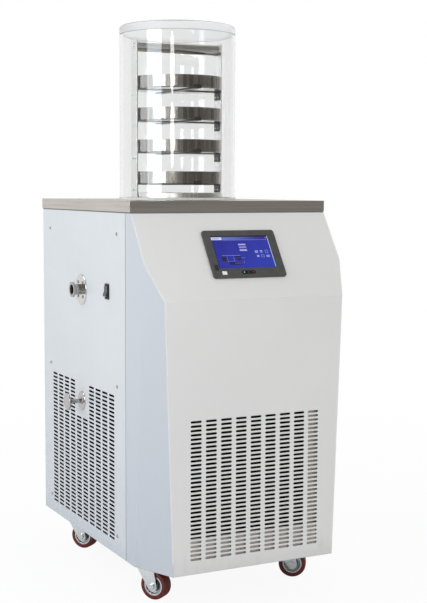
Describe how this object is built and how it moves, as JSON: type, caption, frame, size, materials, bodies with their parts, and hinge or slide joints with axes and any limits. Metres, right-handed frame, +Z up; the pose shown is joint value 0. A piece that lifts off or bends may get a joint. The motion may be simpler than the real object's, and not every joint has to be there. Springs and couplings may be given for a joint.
{
  "type": "freeze dryer",
  "caption": "Floor-standing laboratory freeze dryer: clear bell chamber over a tray rack, grilled cabinet with a side vacuum port and drain valve, on swivel casters.",
  "frame": {"origin": "on the floor, under the middle of the overall bounding box", "axes": "+Z up, -Y towards the user who faces the touch panel, -X towards the vacuum port"},
  "size_m": [0.5814, 0.787, 1.447],
  "materials": {
    "front_sheet": "satin powder coat",
    "side_sheet": "satin powder coat",
    "frame_paint": "satin powder coat",
    "worktop_steel": "long grain, brushed",
    "rack_steel": "cold rolled, bright",
    "tray_steel": "turned and brushed",
    "polished_steel": "polished",
    "zinc": "bright zinc plate",
    "acrylic": "clear cast acrylic",
    "seal_rubber": "white silicone rubber",
    "foam": "closed-cell foam",
    "copper": "drawn copper",
    "brass": "machined",
    "black_plastic": "moulded, fine texture",
    "rocker_plastic": "moulded, gloss",
    "bezel_plastic": "moulded, fine texture",
    "screen": "lit screen behind film",
    "compressor_enamel": "gloss enamel",
    "foot_rubber": "moulded rubber",
    "fin_aluminium": "thin fins",
    "motor_paint": "enamel",
    "tyre": "dark red polyurethane",
    "hub_metal": "die cast"
  },
  "bodies": {
    "cabinet": {"base_plate": "frame_paint", "frame_rails": "frame_paint", "corner_posts": "frame_paint", "left_side_panel": "side_sheet", "right_side_panel": "side_sheet", "rear_panel": "side_sheet", "front_cover": "front_sheet", "worktop": "worktop_steel", "panel_screws": "zinc", "bell_gasket": "seal_rubber", "bell_tube": "acrylic", "bell_lid": "acrylic", "rack_base_ring": "rack_steel", "rack_legs": "rack_steel", "rack_handle": "polished_steel", "rack_screws": "zinc", "shelf_supports": "rack_steel", "tray_1": "tray_steel", "tray_2": "tray_steel", "tray_3": "tray_steel", "tray_4": "tray_steel", "cold_trap_vessel": "polished_steel", "trap_insulation": "foam", "evaporator_coil": "copper", "drain_pipe": "rack_steel", "vacuum_port": "polished_steel", "port_plate": "polished_steel", "drain_valve_body": "brass", "drain_rosette": "polished_steel", "switch_housing": "black_plastic", "touch_panel_bezel": "bezel_plastic", "touch_screen": "screen", "touch_panel_housing": "black_plastic", "compressor": "compressor_enamel", "compressor_feet": "foot_rubber", "condenser": "fin_aluminium", "fan_shroud": "frame_paint", "fan_motor": "motor_paint", "filter_drier": "copper", "refrigerant_pipes": "copper", "control_box": "frame_paint", "cord_gland": "black_plastic", "caster_plates": "zinc", "caster_bolts": "zinc"},
    "power_rocker": {"power_rocker": "rocker_plastic"},
    "drain_knob": {"drain_knob": "polished_steel"},
    "condenser_fan": {"fan_rotor": "fin_aluminium"},
    "front_left_swivel": {"caster_fork_1": "zinc"},
    "front_left_wheel": {"caster_tyre_1": "tyre", "caster_hub_1": "hub_metal"},
    "front_right_swivel": {"caster_fork_2": "zinc"},
    "front_right_wheel": {"caster_tyre_2": "tyre", "caster_hub_2": "hub_metal"},
    "rear_left_swivel": {"caster_fork_3": "zinc"},
    "rear_left_wheel": {"caster_tyre_3": "tyre", "caster_hub_3": "hub_metal"},
    "rear_right_swivel": {"caster_fork_4": "zinc"},
    "rear_right_wheel": {"caster_tyre_4": "tyre", "caster_hub_4": "hub_metal"}
  },
  "joints": [
    {"name": "power_switch_rock", "type": "hinge", "parent": "cabinet", "child": "power_rocker", "pos_m": [-0.2447, -0.1095, 0.766], "axis": [0, 1, 0], "range_deg": [-20, 0]},
    {"name": "drain_valve_turn", "type": "hinge", "parent": "cabinet", "child": "drain_knob", "pos_m": [-0.2477, 0.0715, 0.463], "axis": [1, 0, 0], "range_deg": [0, 90]},
    {"name": "condenser_fan_spin", "type": "hinge", "parent": "cabinet", "child": "condenser_fan", "pos_m": [0.0203, -0.2955, 0.286], "axis": [0, 1, 0], "continuous": true},
    {"name": "front_left_caster_swivel", "type": "hinge", "parent": "cabinet", "child": "front_left_swivel", "pos_m": [-0.1762, -0.1895, 0.1], "axis": [0, 0, 1], "continuous": true},
    {"name": "front_left_wheel_roll", "type": "hinge", "parent": "front_left_swivel", "child": "front_left_wheel", "pos_m": [-0.16092, -0.21053, 0.036], "axis": [0.809, 0.5878, 0], "continuous": true},
    {"name": "front_right_caster_swivel", "type": "hinge", "parent": "cabinet", "child": "front_right_swivel", "pos_m": [0.2168, -0.1895, 0.1], "axis": [0, 0, 1], "continuous": true},
    {"name": "front_right_wheel_roll", "type": "hinge", "parent": "front_right_swivel", "child": "front_right_wheel", "pos_m": [0.23861, -0.20366, 0.036], "axis": [0.5446, 0.8387, 0], "continuous": true},
    {"name": "rear_left_caster_swivel", "type": "hinge", "parent": "cabinet", "child": "rear_left_swivel", "pos_m": [-0.1762, 0.3025, 0.1], "axis": [0, 0, 1], "continuous": true},
    {"name": "rear_left_wheel_roll", "type": "hinge", "parent": "rear_left_swivel", "child": "rear_left_wheel", "pos_m": [-0.16019, 0.28201, 0.036], "axis": [0.788, 0.6157, 0], "continuous": true},
    {"name": "rear_right_caster_swivel", "type": "hinge", "parent": "cabinet", "child": "rear_right_swivel", "pos_m": [0.2168, 0.3025, 0.1], "axis": [0, 0, 1], "continuous": true},
    {"name": "rear_right_wheel_roll", "type": "hinge", "parent": "rear_right_swivel", "child": "rear_right_wheel", "pos_m": [0.23672, 0.28579, 0.036], "axis": [0.6428, 0.766, 0], "continuous": true}
  ]
}
